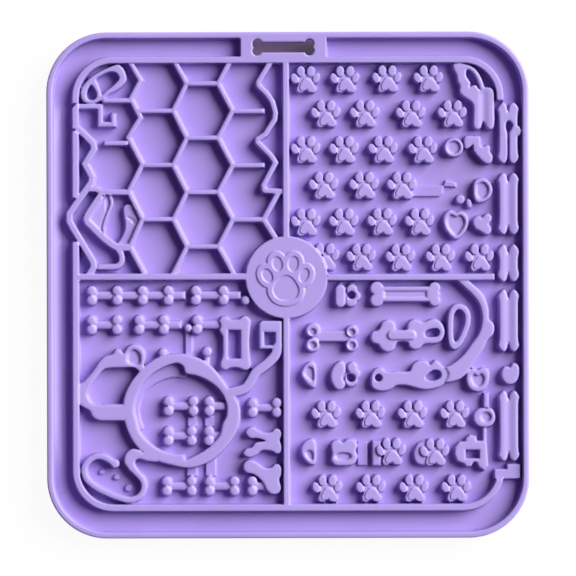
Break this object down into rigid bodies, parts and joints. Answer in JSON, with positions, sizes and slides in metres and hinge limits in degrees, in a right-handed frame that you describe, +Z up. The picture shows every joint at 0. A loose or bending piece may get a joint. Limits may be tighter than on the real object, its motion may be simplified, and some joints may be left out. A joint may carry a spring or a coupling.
{
  "type": "lick mat",
  "caption": "Rounded silicone lick mat with a raised rim, a hang slot, a paw medallion and four textured panels of honeycomb, paws, knobs and bones.",
  "frame": {"origin": "bottom centre of the mat: the plane that the suction cups stand on, under the middle of the sheet", "axes": "+Z up out of the textured face, +X across the mat to the panel with the paws, +Y along the mat to the edge with the hang slot"},
  "size_m": [0.2, 0.21, 0.011],
  "materials": {
    "silicone": "soft matte lilac silicone"
  },
  "bodies": {
    "root": {"base_sheet": "silicone", "outer_rim": "silicone", "hanger_bridge": "silicone", "inner_wall_top": "silicone", "inner_wall_left": "silicone", "inner_wall_bottom": "silicone", "divider_upper": "silicone", "divider_lower": "silicone", "divider_left": "silicone", "divider_right": "silicone", "centre_medallion": "silicone", "medallion_paw": "silicone", "honeycomb_rib_left": "silicone", "honeycomb_rib_middle": "silicone", "honeycomb_rib_right": "silicone", "honeycomb_bars": "silicone", "zigzag_rib": "silicone", "corner_loop": "silicone", "diagonal_rib": "silicone", "pentagon_loop": "silicone", "pentagon_steps": "silicone", "paw_studs_upper": "silicone", "corner_bone": "silicone", "border_bones": "silicone", "treat_studs_upper": "silicone", "barbell_studs": "silicone", "ring_rib": "silicone", "ring_step": "silicone", "ear_loop": "silicone", "tail_rib": "silicone", "arm_loop": "silicone", "frame_rib": "silicone", "side_bones": "silicone", "low_strips": "silicone", "long_bone": "silicone", "ringed_bone": "silicone", "double_link": "silicone", "teardrop_loop": "silicone", "strap_rib": "silicone", "chain_rib": "silicone", "buckle_studs": "silicone", "treat_studs_lower": "silicone", "paw_studs_lower": "silicone", "corner_block": "silicone", "suction_cups": "silicone"}
  },
  "joints": []
}
